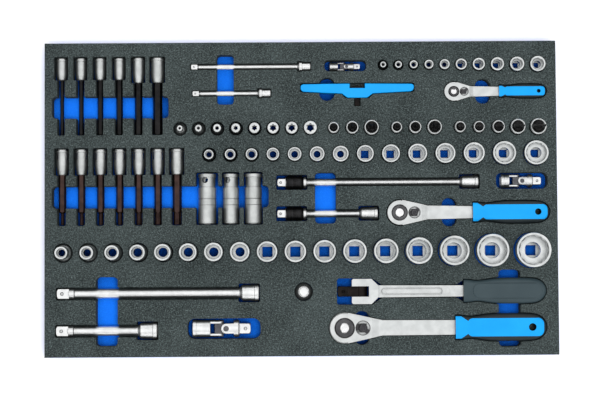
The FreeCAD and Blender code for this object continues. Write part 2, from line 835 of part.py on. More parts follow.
def hinge_handle():
    """Flex handle: hinge pin at the origin along Y, bar and grip towards +X."""
    half = hinge_block / 2
    slot = half + 0.15
    thick = hinge_fork_thickness / 2
    wide = hinge_fork_width / 2
    fork = plate([
        (-11.8, -wide + 1.5), (-10.3, -wide), (12.5, -wide), (21.0, -7.2), (21.0, 7.2),
        (12.5, wide), (-10.3, wide), (-11.8, wide - 1.5),
    ], -thick, thick)
    back = 9.4
    slit = box(-13, back, -slot, slot, -thick - 1, thick + 1)
    bar_thick = 5.5
    bar = plate([(20, -7.4), (hinge_bar_end, -6.8), (hinge_bar_end, 6.8), (20, 7.4)], -bar_thick, bar_thick)
    tang_end = hinge_bar_end + hinge_grip_length * 0.5
    tang = box(hinge_bar_end - 1, tang_end, -4, 4, -4, 4)
    body = fork.fuse([bar, tang]).removeSplitter()
    panel = rounded(30, 110, -4.2, 4.2, 4.1, bar_thick - 0.5, bar_thick + 1)
    dot = drum(5.0, bar_thick - 0.4, bar_thick + 1, hinge_bar_end - 6.5)
    pin = hinge_pin / 2
    hole = Part.makeCylinder(pin + 0.02, hinge_fork_width + 2, Vec(0, -wide - 1, 0), Vec(0, 1, 0))
    body = body.cut([slit, panel, dot, hole])

    core = Part.makeCylinder(7.6, hinge_block, Vec(0, -half, 0), Vec(0, 1, 0))
    neck = box(-15.5, 0, -half, half, -half, half)
    collar = turned([(-16.2, 8.6), (-15.6, 9.2), (-13.6, 9.2), (-13.0, 8.6)])
    collar = collar.common(box(-17, -12, -half, half, -half - 1, half + 1))
    square = shifted(male_square(drive_half, 14.4), -29.0, 0, 0)
    head = core.fuse([neck, collar, square]).removeSplitter()
    bore = Part.makeCylinder(pin + fit, hinge_block + 2, Vec(0, -half - 1, 0), Vec(0, 1, 0))
    cutter, ball = ball_hole(drive_half, -22.5, Vec(0, 0, 1))
    head = head.cut([bore, cutter])
    axle = Part.makeCylinder(pin, hinge_fork_width - 0.8, Vec(0, -wide + 0.4, 0), Vec(0, 1, 0))

    grip_thick = 21.0
    grip = grip_body(hinge_grip_length, hinge_grip_width, grip_thick)
    oval = rounded(8.5, hinge_grip_length * 0.925, -10.4, 10.4, 10.0, grip_thick / 2 - 0.6, grip_thick)
    pocket = box(-1, tang_end - hinge_bar_end + air, -4 - fit, 4 + fit, -4 - fit, 4 + fit)
    grip = shifted(grip.cut([oval, pocket]), hinge_bar_end, 0, 0)
    return [body], [grip], [head, ball], [axle]


def t_handle():
    """Wing grip lying on its side: top edge along y = 0, spindle down towards -Y."""
    half = t_handle_span / 2
    hub = t_handle_hub / 2
    outline = [
        (-half, -2.6), (-half + 1.0, -1.0), (-half + 3.5, 0), (-15, 0.6), (-9.4, 0.6), (-9.4, -5.0),
        (9.4, -5.0), (9.4, 0.6), (15, 0.6), (half - 3.5, 0), (half - 1.0, -1.0), (half, -2.6),
        (half, -6.0), (half - 1.5, -8.4), (half - 4.0, -9.6), (hub + 2.5, -12.0), (hub - 2.0, -15.6),
        (hub - 4.5, -17.2), (-hub + 4.5, -17.2), (-hub + 2.0, -15.6), (-hub - 2.5, -12.0),
        (-half + 4.0, -9.6), (-half + 1.5, -8.4), (-half, -6.0),
    ]
    thick = t_handle_thickness
    wing = plate(outline, 0, thick)
    wing = wing.makeFillet(0.9, [e for e in wing.Edges if e.BoundBox.ZLength < 1e-6])
    spine = 9.6
    seat = Part.makeCylinder(spine / 2 + fit, 30, Vec(0, -22, thick / 2), Vec(0, 1, 0))
    wing = wing.cut(seat)
    core = Part.makeCylinder(spine / 2, 13.0, Vec(0, -16.8, thick / 2), Vec(0, 1, 0))
    cap = box(-6.6, 6.6, -4.9, -2.6, thick / 2 - 5.2, thick / 2 + 5.2)
    peg = spun(male_square(drive_quarter, 11.5), Vec(0, 0, 1), 90)
    spindle = core.fuse([cap, shifted(peg, 0, -27.0, thick / 2)]).removeSplitter()
    hollow = drive_quarter + square_play
    low, high = thick / 2 - hollow / 2, thick / 2 + hollow / 2
    spindle = spindle.cut(box(-hollow / 2, hollow / 2, -11, -1, low, high))
    return [wing], [spindle]


def adapter():
    """Half-inch female to three-eighth male, standing on its female end."""
    neck = adapter_height - 10.5
    body = turned([
        (0, adapter_body / 2 - 0.7),
        (0.7, adapter_body / 2),
        (neck - 5.5, adapter_body / 2),
        (neck - 2.5, adapter_neck / 2),
        (neck - 0.5, adapter_neck / 2),
        (neck, adapter_neck / 2 - 0.5),
    ])
    square = spun(male_square(drive_three_eighth, 11.5), Vec(0, 0, 1), 180)
    body = body.fuse(shifted(square, adapter_height, 0, 0)).removeSplitter()
    body = body.cut(female_square(drive_half, -1, drive_half * 0.95))
    cutter, ball = ball_hole(drive_three_eighth, adapter_height - 4.4, Vec(0, 0, 1))
    return [body.cut(cutter), ball]


# ---------------------------------------------------------------- build every node
nodes = {}
top_cuts = []
base_cuts = []


def cut_slot(x0, x1, y0, y1, radius, low):
    """Rounded cut-out given from the tray's lower left corner, down to low."""
    top_cuts.append(put(rounded(x0, x1, y0, y1, radius, low, face_z + over), (0, 0), 0))


def cut_bar(x0, x1, y, width, low):
    """Straight cut-out along X centred on y."""
    cut_slot(x0, x1, y - width / 2, y + width / 2, min(width * 0.2, 2.0), low)


solids, wells = standing_row(
    quarter_sizes, drive_quarter, 1.3, 2.5, quarter_collar, [quarter_height] * len(quarter_sizes),
    hexagon, 9, quarter_row_start, quarter_row_y, quarter_row_gap)
nodes["quarter_inch_sockets"] = solids
top_cuts += wells

solids, wells = standing_row(
    three_eighth_sizes, drive_three_eighth, 1.29, 1.9, three_eighth_collar,
    [three_eighth_height] * len(three_eighth_sizes), twelve_point, 15, three_eighth_row_start,
    three_eighth_row_y, three_eighth_row_gap)
nodes["three_eighth_sockets"] = solids
top_cuts += wells

half_heights = [half_height_large if size >= 24 else half_height for size in half_sizes]
solids, wells = standing_row(
    half_sizes, drive_half, 1.215, 3.8, half_collar, half_heights, twelve_point, 18,
    half_row_start, half_row_y, half_row_gap)
nodes["half_inch_sockets"] = solids
top_cuts += wells

nodes["external_star_sockets"] = []
for i, (tip, rim) in enumerate(zip(star_socket_tips, star_socket_rims)):
    place = (star_socket_start + i * star_socket_pitch, small_row_y)
    nodes["external_star_sockets"].append(put(upright(star_socket(tip, rim)), place, floor_z))
    well = max(star_socket_collar, rim) / 2 + pocket_gap
    top_cuts.append(put(drum(well, floor_z, face_z + over), place, 0))

nodes["screwdriver_socket_bodies"] = []
nodes["screwdriver_bits"] = []
for i, (kind, body_diameter, bit_diameter, x) in enumerate(screwdriver_sockets):
    body, bit = screwdriver_pair(kind, body_diameter, bit_diameter)
    turn = 0 if kind == "blade" else 25 * i
    body = spun(upright(body), Vec(0, 0, 1), 90)
    bit = spun(upright(spun(bit, Vec(1, 0, 0), turn)), Vec(0, 0, 1), 90)
    nodes["screwdriver_socket_bodies"].append(put(body, (x, small_row_y), floor_z))
    nodes["screwdriver_bits"].append(put(bit, (x, small_row_y), floor_z))
    well = body_diameter / 2 + pocket_gap
    top_cuts.append(put(drum(well, floor_z, face_z + over), (x, small_row_y), 0))

nodes["hex_bit_socket_heads"] = []
nodes["hex_bits"] = []
for i, (size, rim, length) in enumerate(zip(hex_bit_sizes, hex_head_rims, hex_head_lengths)):
    x = hex_bit_start + i * hex_bit_pitch
    axis_z = floor_z + rest_gap + rim / 2
    start = length * 0.5
    seat = prism_x(hexagon(size + 2 * fit), start - 0.5, length + 1)
    head = bit_socket_head(rim, length, drive_three_eighth, seat, max(6.0, size * 0.62 + 1.2))
    shaft = prism_x(hexagon(size), start, hex_bit_length)
    corner = size / math.sqrt(3)
    tip = turned([
        (start, corner + 0.1),
        (hex_bit_length - 1.2, corner + 0.1),
        (hex_bit_length, corner - 0.9),
    ])
    nodes["hex_bit_socket_heads"].append(lay_down(head, x, hex_bit_top_y, axis_z))
    nodes["hex_bits"].append(lay_down(shaft.common(tip), x, hex_bit_top_y, axis_z))
    half = rim / 2 + pocket_gap
    cut_slot(x - half, x + half, hex_bit_top_y - length - 1.0, hex_bit_top_y + 1.0, 1.5, floor_z)
    half = corner + pocket_gap + (1.6 if size < 6 else 0.3)
    cut_slot(x - half, x + half, hex_bit_top_y - hex_bit_length - 1.0, hex_bit_top_y - length, 1.5, floor_z)

nodes["star_bit_socket_heads"] = []
nodes["star_bits"] = []
for i, (tip_size, rim) in enumerate(zip(star_bit_tips, star_head_rims)):
    x = star_bit_start + i * star_bit_pitch
    axis_z = floor_z + rest_gap + rim / 2
    shank = star_shank_large if rim > 17.5 else star_shank
    start = star_head_length * 0.5
    seat = prism_x(hexagon(shank + 2 * fit), start - 0.5, star_head_length + 1)
    head = bit_socket_head(rim, star_head_length, drive_half, seat, shank * 0.62 + 1.2)
    shoulder = star_bit_length - star_tip_length
    shaft = prism_x(hexagon(shank), start, shoulder)
    cone = turned([
        (start, shank),
        (shoulder - 2.5, shank * 0.6),
        (shoulder, tip_size / 2 + 0.05),
        (star_bit_length, tip_size / 2 + 0.05),
    ])
    bit = shaft.common(cone).fuse(star(tip_size, shoulder - 3, star_bit_length)).removeSplitter()
    nodes["star_bit_socket_heads"].append(lay_down(head, x, star_bit_top_y, axis_z))
    nodes["star_bits"].append(lay_down(bit, x, star_bit_top_y, axis_z))
    half = rim / 2 + pocket_gap
    cut_slot(x - half, x + half, star_bit_top_y - star_head_length - 1.0, star_bit_top_y + 1.0, 1.5, floor_z)
    half = shank / math.sqrt(3) + pocket_gap
    head_end, tip_end = star_bit_top_y - star_head_length, star_bit_top_y - star_bit_length
    cut_slot(x - half, x + half, star_bit_top_y - shoulder - 2, head_end, 1.5, floor_z)
    cut_slot(x - half, x + half, tip_end - 1.5, star_bit_top_y - shoulder, 2.5, floor_z)

nodes["spark_plug_sockets"] = []
nodes["spark_plug_rubber_grips"] = []
for size, diameter, rim, x, tilt in spark_sockets:
    radius = diameter / 2
    axis_z = floor_z + rest_gap + max(rim, diameter) / 2
    body = turned([
        (0, rim / 2 - 0.6), (0.6, rim / 2), (4.0, rim / 2), (4.4, radius - 0.9), (15.6, radius - 0.9),
        (15.6, radius - 1.6), (17.2, radius - 1.6), (17.2, radius), (29.8, radius), (29.8, radius - 0.5),
        (31.0, radius - 0.5), (31.0, radius), (spark_length - 1.5, radius), (spark_length, radius - 1.3),
    ])
    cuts = [
        prism_x(hexagon(size + 0.2), 24.0, spark_length + 1),
        rod(size * 0.40, drive_three_eighth, 26.0),
        female_square(drive_three_eighth, -1, drive_three_eighth * 1.1),
    ]
    if tilt is not None:
        pierce = Part.makeCylinder(3.9, 2 * rim, Vec(7.8, 0, -rim))
        cuts.append(spun(pierce, Vec(1, 0, 0), tilt))
    rubber = rod(size / 2 - 0.1, 30.0, 42.0).cut(rod(size / 2 - 3.0, 29.0, 43.0))
    nodes["spark_plug_sockets"].append(lay_down(body.cut(cuts), x, spark_top_y, axis_z))
    nodes["spark_plug_rubber_grips"].append(lay_down(rubber, x, spark_top_y, axis_z))
    half = max(rim, diameter) / 2 + (2.8 if size > 17 else pocket_gap)
    cut_slot(x - half, x + half, spark_top_y - spark_length - 1.0, spark_top_y + 2.0, 2.0, floor_z)

nodes["drive_adapter"] = [
    put(spun(upright(part), Vec(0, 0, 1), 45), adapter_place, floor_z) for part in adapter()]
top_cuts.append(put(drum(adapter_body / 2 + pocket_gap, floor_z, face_z + over), adapter_place, 0))

# extensions
for name, length, place in zip(("250", "125"), half_extension_lengths, half_extension_places):
    axis_z = floor_z + rest_gap + half_extension_head / 2
    made = extension(drive_half, length, half_extension_bar, half_extension_head, 13.7, 14.4, 5.0)
    nodes["half_inch_extension_" + name] = [put(part, place, axis_z) for part in made]
    x, y = place
    bar_low = axis_z - 7.2 - rest_gap
    cut_bar(x - 1.2, x + length - 24.0, y, 14.4 + 2 * pocket_gap, bar_low)
    cut_bar(x + length - 25.5, x + length + 1.2, y, half_extension_head + 2 * pocket_gap, floor_z)

for name, length, place in zip(("250", "125"), three_eighth_extension_lengths, three_eighth_extension_places):
    axis_z = floor_z + rest_gap + three_eighth_release_collar / 2
    made, collar = release_extension(length)
    nodes["three_eighth_extension_" + name] = [put(part, place, axis_z) for part in made]
    nodes["three_eighth_collar_" + name] = [put(part, place, axis_z) for part in collar]
    x, y = place
    bar_low = axis_z - three_eighth_extension_bar / 2 - rest_gap
    cut_bar(x - 1.3, x + 37.0, y, three_eighth_release_collar + 2 * pocket_gap, floor_z)
    cut_bar(x + 35.0, x + length - 22.0, y, three_eighth_extension_bar + 2 * pocket_gap, bar_low)
    cut_bar(x + length - 24.5, x + length + 1.2, y, three_eighth_extension_head + 2 * pocket_gap, floor_z)

for name, length, place in zip(("150", "100"), quarter_extension_lengths, quarter_extension_places):
    made = small_extension(length)
    nodes["quarter_inch_extension_" + name] = [put(part, place, quarter_extension_z) for part in made]
    x, y = place
    bar_low = quarter_extension_z - 3.5 - rest_gap
    head_low = quarter_extension_z - quarter_extension_flange / 2 - rest_gap
    cut_bar(x - 1.0, x + length - 14.0, y, quarter_extension_bar + 2 * pocket_gap, bar_low)
    cut_bar(x + length - 17.0, x + length - 10.0, y, quarter_extension_flange + 2 * pocket_gap, head_low)
    cut_bar(x + length - 12.0, x + length + 1.0, y, quarter_extension_flange - 2 + 2 * pocket_gap, head_low)

# universal joints
joints = (("half_inch", half_joint), ("three_eighth", three_eighth_joint), ("quarter_inch", quarter_joint))
for name, (drive, diameter, length, square_length, place) in joints:
    axis_z = floor_z + rest_gap + diameter / 2
    pieces = universal_joint(drive, diameter, length, square_length)
    for label, made in zip(("socket_yoke", "cross", "drive_yoke"), pieces):
        nodes[name + "_joint_" + label] = [put(part, place, axis_z) for part in made]
    x, y = place
    half = diameter / 2 + joint_side_room * diameter / 21.7
    left = 6.0 if drive == drive_half else 6.5
    right = 12.5 if drive == drive_half else 7.5
    cut_slot(x - left, x + length + right, y - half, y + half, half * 0.72, floor_z)

# ratchets
ratchets = (
    ("half_inch", half_ratchet),
    ("three_eighth", three_eighth_ratchet),
    ("quarter_inch", quarter_ratchet),
)
for name, data in ratchets:
    for label, made in ratchet(data).items():
        nodes[name + "_ratchet_" + label] = [put(part, data["place"], data["underside"]) for part in made]
    top_cuts += ratchet_pocket(data)
    top_cuts.append(drive_well(data))
    base_cuts.append(drive_well(data))

# hinge handle
bar, grip, head, axle = hinge_handle()
nodes["hinge_handle_bar"] = [put(part, hinge_place, hinge_axis_z) for part in bar]
nodes["hinge_handle_grip"] = [put(part, hinge_place, hinge_axis_z) for part in grip]
nodes["hinge_handle_head"] = [put(part, hinge_place, hinge_axis_z) for part in head]
nodes["hinge_handle_pin"] = [put(part, hinge_place, hinge_axis_z) for part in axle]
x, y = hinge_place
wide = hinge_fork_width / 2 + pocket_gap
cut_slot(x - 30.2, x + 13.5, y - wide, y + wide, 3.0, floor_z)
top_cuts.append(put(plate([(12, -wide), (13.5, -wide), (25, -8.4), (25, 8.4), (13.5, wide), (12, wide)],
                          floor_z, face_z + over), hinge_place, 0))
cut_bar(x + 20, x + hinge_bar_end, y, 14.8 + 2 * pocket_gap, hinge_axis_z - 5.5)
pocket = grip_outline(hinge_grip_length + 2 * pocket_gap, hinge_grip_width + 3 * pocket_gap)
grip_low = hinge_axis_z - 10.5 - rest_gap
pocket.translate(Vec(hinge_bar_end - pocket_gap, 0, grip_low))
top_cuts.append(put(pocket.extrude(Vec(0, 0, face_z + over - grip_low)), hinge_place, 0))
for side in (-1, 1):
    top_cuts.append(put(plate([(hinge_bar_end - 10, side * 7), (hinge_bar_end + 1, side * 7),
                               (hinge_bar_end + 1, side * 14)], floor_z, face_z + over), hinge_place, 0))

# T-handle
wing, spindle = t_handle()
nodes["t_handle_grip"] = [put(part, t_handle_place, t_handle_z) for part in wing]
nodes["t_handle_spindle"] = [put(part, t_handle_place, t_handle_z) for part in spindle]
x, y = t_handle_place
span = t_handle_span / 2 + pocket_gap
top_cuts.append(put(plate([
    (-span, 0.4), (-span + 2.5, 1.3), (span - 2.5, 1.3), (span, 0.4), (span, -9.5), (span - 3, -10.5),
    (t_handle_hub / 2 + 3.3, -12.8), (t_handle_hub / 2 - 1.5, -17.9), (-t_handle_hub / 2 + 1.5, -17.9),
    (-t_handle_hub / 2 - 3.3, -12.8), (-span + 3, -10.5), (-span, -9.5),
], t_handle_z, face_z + over), t_handle_place, 0))
peg_half = drive_quarter / 2 + pocket_gap
cut_slot(x - peg_half, x + peg_half, y - 27.9, y - 15.0, 1.0, t_handle_z)

# finger troughs down to the blue layer
cut_slot(9.2, 153.9, 296.0, 323.4, 5.0, floor_z)
cut_slot(9.2, 277.8, 184.2, 211.6, 5.0, floor_z)
cut_slot(214.0, 235.1, 312.4, 374.6, 4.5, floor_z)
cut_slot(335.4, 361.4, 163.8, 227.2, 5.0, floor_z)
cut_slot(63.7, 90.5, 13.6, 99.0, 5.0, floor_z)
cut_slot(561.8, 588.6, 10.4, 105.2, 5.0, floor_z)
cut_slot(341.4, 360.8, 316.4, 345.6, 9.6, floor_z)
cut_slot(535.2, 554.4, 311.7, 342.7, 9.5, floor_z)
cut_slot(492.3, 510.9, 159.3, 194.9, 9.2, floor_z)
cut_slot(382.8, 401.8, 13.6, 55.2, 9.4, floor_z)

nodes["foam_top_layer"] = [put(box(0, tray_length, 0, tray_width, floor_z, face_z), (0, 0), 0).cut(top_cuts)]
nodes["foam_base_layer"] = [put(box(0, tray_length, 0, tray_width, 0, floor_z), (0, 0), 0).cut(base_cuts)]

for name, solids in nodes.items():
    made = []
    for shape in solids:
        made += shape.Solids
    shape = made[0] if len(made) == 1 else Part.makeCompound(made)
    shape.exportStep("parts/" + name + ".step")
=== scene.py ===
# %% [markdown]
# # A socket set in its foam module
# The object is a tool module: a charcoal foam sheet with a cut-out for every tool, glued to a blue
# foam sheet that shows wherever the cut-outs go right through. The tools were designed as exact
# solids and arrive here as a fixed frame. This lesson gives every one of them a finish, remakes the
# two foam sheets with softened edges, adds seams, ribs and rims, and lights the module evenly from
# above. Everything is in metres, +Z up, with the origin under the middle of the module.

# %% Load the frame
import json
import math
import bpy
import bmesh
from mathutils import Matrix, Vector


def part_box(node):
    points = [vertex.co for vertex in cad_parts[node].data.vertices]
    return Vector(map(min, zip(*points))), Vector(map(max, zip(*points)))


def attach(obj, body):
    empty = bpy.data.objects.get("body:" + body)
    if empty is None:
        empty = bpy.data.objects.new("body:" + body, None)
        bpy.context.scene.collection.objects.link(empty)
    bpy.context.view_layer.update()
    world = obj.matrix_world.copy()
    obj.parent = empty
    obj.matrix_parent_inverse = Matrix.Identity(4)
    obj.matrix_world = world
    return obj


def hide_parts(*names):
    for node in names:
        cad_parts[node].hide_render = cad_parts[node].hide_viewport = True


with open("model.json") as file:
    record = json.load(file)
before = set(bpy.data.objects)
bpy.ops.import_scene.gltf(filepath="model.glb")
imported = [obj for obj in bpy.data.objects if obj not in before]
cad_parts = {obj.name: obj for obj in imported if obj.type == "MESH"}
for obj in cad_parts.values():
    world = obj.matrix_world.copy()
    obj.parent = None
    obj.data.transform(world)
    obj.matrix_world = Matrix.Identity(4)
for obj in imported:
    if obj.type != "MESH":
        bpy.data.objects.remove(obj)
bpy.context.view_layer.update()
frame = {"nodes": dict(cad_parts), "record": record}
record = frame["record"]

# %% [markdown]
# ## Small helpers for shader trees
# A finish is a tree of nodes. Writing out every wire makes long trees hard to read, so a few helpers
# do the routine work: they add a node with its settings and wires, do one step of arithmetic, stretch
# a range, mix two colours, and open or use a node group whose named inputs and outputs make it
# reusable in many materials.

# %% Shader helpers
MM = 0.001


def fill(tree, socket, value):
    """Gives a socket a wire if the value is another socket, and a constant if it isn't."""
    if isinstance(value, bpy.types.NodeSocket):
        tree.links.new(value, socket)
    else:
        socket.default_value = value


def add(tree, kind, settings=None, **inputs):
    """Adds a node; settings are its properties, inputs its sockets (a value or another socket)."""
    node = tree.nodes.new(kind)
    for key, value in (settings or {}).items():
        setattr(node, key, value)
    for key, value in inputs.items():
        numbered = key[:1] == "i" and key[1:].isdigit()
        fill(tree, node.inputs[int(key[1:]) if numbered else key.replace("_", " ")], value)
    return node


def math_node(tree, operation, a, b, clamp=False):
    node = add(tree, "ShaderNodeMath", {"operation": operation, "use_clamp": clamp}, i0=a, i1=b)
    return node.outputs[0]


def ramp(tree, value, low, high, to_low=0.0, to_high=1.0):
    node = add(tree, "ShaderNodeMapRange", None, Value=value)
    node.inputs["From Min"].default_value = low
    node.inputs["From Max"].default_value = high
    node.inputs["To Min"].default_value = to_low
    node.inputs["To Max"].default_value = to_high
    return node.outputs["Result"]


def mix_colour(tree, factor, a, b):
    """From colour a at factor 0 to colour b at factor 1; a colour is (r, g, b) or a socket."""
    node = tree.nodes.new("ShaderNodeMix")
    node.data_type = "RGBA"
    for number, value in ((0, factor), (6, a), (7, b)):
        fill(tree, node.inputs[number], (*value, 1.0) if isinstance(value, tuple) else value)
    return node.outputs[2]


def open_group(name, inputs, outputs):
    """An empty shader group: inputs are (name, kind, default), outputs (name, kind)."""
    group = bpy.data.node_groups.new(name, "ShaderNodeTree")
    for socket_name, kind, default in inputs:
        socket = group.interface.new_socket(socket_name, in_out="INPUT", socket_type=kind)
        socket.default_value = default
    for socket_name, kind in outputs:
        group.interface.new_socket(socket_name, in_out="OUTPUT", socket_type=kind)
    return group, group.nodes.new("NodeGroupInput"), group.nodes.new("NodeGroupOutput")


def use_group(tree, group, **inputs):
    node = tree.nodes.new("ShaderNodeGroup")
    node.node_tree = group
    for key, value in inputs.items():
        fill(tree, node.inputs[key.replace("_", " ")], value)
    return node


FLOAT = "NodeSocketFloat"
print("helpers ready")

# %% [markdown]
# ## Effects shared by several finishes
# *Grain* is a two-scale noise: large soft patches and small specks. Foam, rubber and oxide all use
# it with different sizes. *Edge wear* compares the true surface direction with a rounded one, so it
# lights up only along edges: real wear on oxide and plastic, and on metal partly rubbed steel, partly
# a painted highlight. *Hollows* says how open a spot is; recesses and narrow gaps are darkened with a
# painted shade. *Turning lines* are the fine rings and strokes that polishing leaves on steel.

# %% Grain group
grain, g_in, g_out = open_group(
    "grain",
    [("Speck Size", FLOAT, 1.0), ("Patch Size", FLOAT, 40.0), ("Strength", FLOAT, 0.5)],
    [("Speck", FLOAT), ("Patch", FLOAT), ("Height", FLOAT)],
)
where = add(grain, "ShaderNodeTexCoord").outputs["Object"]
speck_scale = math_node(grain, "DIVIDE", 1.0 / MM, g_in.outputs["Speck Size"])
patch_scale = math_node(grain, "DIVIDE", 1.0 / MM, g_in.outputs["Patch Size"])
speck_noise = add(grain, "ShaderNodeTexNoise", None, Vector=where, Scale=speck_scale, Detail=3.0,
                  Roughness=0.75)
patch_noise = add(grain, "ShaderNodeTexNoise", None, Vector=where, Scale=patch_scale, Detail=2.0)
speck = ramp(grain, speck_noise.outputs["Fac"], 0.30, 0.70)
patch = ramp(grain, patch_noise.outputs["Fac"], 0.30, 0.70)
grain.links.new(speck, g_out.inputs["Speck"])
grain.links.new(patch, g_out.inputs["Patch"])
grain.links.new(math_node(grain, "MULTIPLY", speck, g_in.outputs["Strength"]), g_out.inputs["Height"])
print("grain:", len(grain.nodes), "nodes")

# %% Edge wear and painted highlight group
edge_wear_and_highlight, e_in, e_out = open_group(
    "edge_wear_and_highlight",
    [("Width", FLOAT, 0.0005), ("Breakup", FLOAT, 3.0)],
    [("Mask", FLOAT)],
)
bevel = add(edge_wear_and_highlight, "ShaderNodeBevel", {"samples": 4}, Radius=e_in.outputs["Width"])
straight = add(edge_wear_and_highlight, "ShaderNodeNewGeometry").outputs["Normal"]
same = add(edge_wear_and_highlight, "ShaderNodeVectorMath", {"operation": "DOT_PRODUCT"},
           i0=bevel.outputs[0], i1=straight)
rounding = ramp(edge_wear_and_highlight, same.outputs["Value"], 0.995, 0.80)
where = add(edge_wear_and_highlight, "ShaderNodeTexCoord").outputs["Object"]
breakup_scale = math_node(edge_wear_and_highlight, "DIVIDE", 1.0 / MM, e_in.outputs["Breakup"])
patchy = add(edge_wear_and_highlight, "ShaderNodeTexNoise", None, Vector=where, Scale=breakup_scale, Detail=3.0)
patchy = ramp(edge_wear_and_highlight, patchy.outputs["Fac"], 0.35, 0.65)
edge_wear_and_highlight.links.new(math_node(edge_wear_and_highlight, "MULTIPLY", rounding, patchy), e_out.inputs["Mask"])
print("edge wear:", len(edge_wear_and_highlight.nodes), "nodes")

# %% Hollows group
# Painted shade: its Openness darkens colour in recesses and narrow gaps.
hollows, h_in, h_out = open_group(
    "hollows",
    [("Reach", FLOAT, 0.01), ("Closed", FLOAT, 0.1), ("Open", FLOAT, 0.5)],
    [("Openness", FLOAT)],
)
shelter = add(hollows, "ShaderNodeAmbientOcclusion", {"samples": 6}, Distance=h_in.outputs["Reach"])
spread = add(hollows, "ShaderNodeMapRange", None, Value=shelter.outputs["AO"],
             From_Min=h_in.outputs["Closed"], From_Max=h_in.outputs["Open"])
hollows.links.new(spread.outputs["Result"], h_out.inputs["Openness"])
print("hollows:", len(hollows.nodes), "nodes")

# %% Turning lines group
turning, t_in, t_out = open_group(
    "turning_lines",
    [("Stretch X", FLOAT, 1.0), ("Stretch Y", FLOAT, 1.0), ("Stretch Z", FLOAT, 8.0),
     ("Pitch", FLOAT, 0.35)],
    [("Line", FLOAT), ("Smudge", FLOAT)],
)
where = add(turning, "ShaderNodeTexCoord").outputs["Object"]
stretch = add(turning, "ShaderNodeCombineXYZ", None, X=t_in.outputs["Stretch X"],
              Y=t_in.outputs["Stretch Y"], Z=t_in.outputs["Stretch Z"])
drawn = add(turning, "ShaderNodeVectorMath", {"operation": "MULTIPLY"}, i0=where, i1=stretch.outputs[0])
line_scale = math_node(turning, "DIVIDE", 1.0 / MM, t_in.outputs["Pitch"])
lines = add(turning, "ShaderNodeTexNoise", None, Vector=drawn.outputs[0], Scale=line_scale, Detail=2.0)
smudge = add(turning, "ShaderNodeTexNoise", None, Vector=where, Scale=110.0, Detail=3.0)
turning.links.new(ramp(turning, lines.outputs["Fac"], 0.3, 0.7), t_out.inputs["Line"])
turning.links.new(ramp(turning, smudge.outputs["Fac"], 0.35, 0.65), t_out.inputs["Smudge"])
print("turning lines:", len(turning.nodes), "nodes")

# %% [markdown]
# ## The finishes
# Four recipes cover everything. *Foam* is dull, never shiny, and speckled by its cells. *Metal* is
# plated or brushed: fully metallic, with its roughness broken up by turning lines and fingerprints.
# *Oxide* is metal under a thin black skin that is rubbed through along the edges. *Moulded* is
# plastic or rubber with a very fine texture. Each recipe is one function, so a finish is one line.

# %% Recipe functions
def new_material(name):
    material = bpy.data.materials.new(name)
    material.use_nodes = True
    tree = material.node_tree
    tree.nodes.clear()
    shader = tree.nodes.new("ShaderNodeBsdfPrincipled")
    output = tree.nodes.new("ShaderNodeOutputMaterial")
    tree.links.new(shader.outputs[0], output.inputs["Surface"])
    return material, tree, shader


def raise_bumps(tree, shader, height, distance):
    bump = add(tree, "ShaderNodeBump", None, Height=height, Distance=distance, Strength=1.0)
    tree.links.new(bump.outputs[0], shader.inputs["Normal"])


def foam_finish(name, dark, light, speck_size, contrast, bump, gap_shade=None):
    """Speckled by two sizes of cell; a high contrast leaves fewer light specks. The gap tone is
    painted shade: the darker colour given to narrow gaps."""
    material, tree, shader = new_material(name)
    cells = use_group(tree, grain, Speck_Size=speck_size, Patch_Size=45.0, Strength=1.0)
    fine = use_group(tree, grain, Speck_Size=speck_size * 0.6, Patch_Size=12.0, Strength=1.0)
    both = math_node(tree, "MULTIPLY", cells.outputs["Speck"], fine.outputs["Speck"])
    crisp = math_node(tree, "POWER", both, contrast)
    soft = math_node(tree, "MULTIPLY", cells.outputs["Patch"], 0.06)
    shade = math_node(tree, "ADD", crisp, soft, clamp=True)
    tone = mix_colour(tree, shade, dark, light)
    if gap_shade:
        # Painted shade: narrow gaps and deep cut-outs are darkened to the gap tone.
        gap = use_group(tree, hollows, Reach=18.0 * MM, Closed=0.10, Open=0.42)
        tone = mix_colour(tree, gap.outputs["Openness"], gap_shade, tone)
    tree.links.new(tone, shader.inputs["Base Color"])
    roughness = ramp(tree, cells.outputs["Speck"], 0.0, 1.0, 0.82, 0.98)
    tree.links.new(roughness, shader.inputs["Roughness"])
    shader.inputs["Specular IOR Level"].default_value = 0.2
    raise_bumps(tree, shader, both, bump * MM)
    return material


